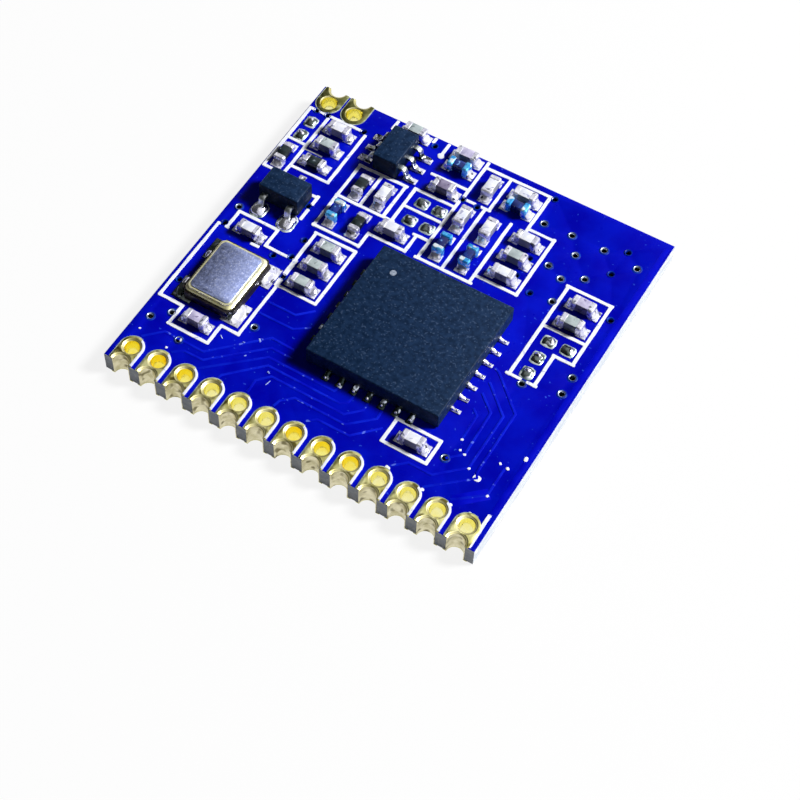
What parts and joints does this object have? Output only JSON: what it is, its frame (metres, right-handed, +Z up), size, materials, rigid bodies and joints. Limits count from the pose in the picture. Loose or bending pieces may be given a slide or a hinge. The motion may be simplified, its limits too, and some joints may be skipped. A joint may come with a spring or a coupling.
{
  "type": "radio transceiver module",
  "caption": "Square blue radio transceiver board with gold castellated pads along one edge, and a square chip, a crystal and small surface-mounted parts on its top face.",
  "frame": {"origin": "middle of the module at the level of its lower lands, which is where it rests on a host board", "axes": "+X along the castellated edge, +Y towards the antenna edge, +Z up from the lower lands"},
  "size_m": [0.0172, 0.017, 0.0021],
  "materials": {
    "board_mask": "glossy royal blue solder mask over glass laminate",
    "gold_plate": "gold plated copper, soft shine",
    "chip_mould": "matte black moulding compound with a fine grain",
    "dark_ceramic": "matte dark ceramic",
    "metal_lid": "satin nickel plate",
    "resistor": "black glaze between tinned ends",
    "capacitor": "pale ceramic between tinned ends",
    "inductor": "blue coating between tinned ends"
  },
  "bodies": {
    "root": {"circuit_board": "board_mask", "castellated_pad_01": "gold_plate", "castellated_pad_02": "gold_plate", "castellated_pad_03": "gold_plate", "castellated_pad_04": "gold_plate", "castellated_pad_05": "gold_plate", "castellated_pad_06": "gold_plate", "castellated_pad_07": "gold_plate", "castellated_pad_08": "gold_plate", "castellated_pad_09": "gold_plate", "castellated_pad_10": "gold_plate", "castellated_pad_11": "gold_plate", "castellated_pad_12": "gold_plate", "castellated_pad_13": "gold_plate", "antenna_pad_1": "gold_plate", "antenna_pad_2": "gold_plate", "transceiver_chip": "chip_mould", "antenna_switch": "chip_mould", "transistor": "chip_mould", "crystal_base": "dark_ceramic", "crystal_seal_ring": "gold_plate", "crystal_lid": "metal_lid", "resistor_1": "resistor", "resistor_2": "resistor", "resistor_3": "resistor", "resistor_4": "resistor", "capacitor_01": "capacitor", "capacitor_02": "capacitor", "capacitor_03": "capacitor", "capacitor_04": "capacitor", "capacitor_05": "capacitor", "capacitor_06": "capacitor", "capacitor_07": "capacitor", "capacitor_08": "capacitor", "capacitor_09": "capacitor", "capacitor_10": "capacitor", "capacitor_11": "capacitor", "capacitor_12": "capacitor", "capacitor_13": "capacitor", "capacitor_14": "capacitor", "capacitor_15": "capacitor", "capacitor_16": "capacitor", "capacitor_17": "capacitor", "capacitor_18": "capacitor", "capacitor_19": "capacitor", "capacitor_20": "capacitor", "capacitor_21": "capacitor", "capacitor_22": "capacitor", "inductor_1": "inductor", "inductor_2": "inductor", "inductor_3": "inductor", "inductor_4": "inductor", "inductor_5": "inductor"}
  },
  "joints": []
}
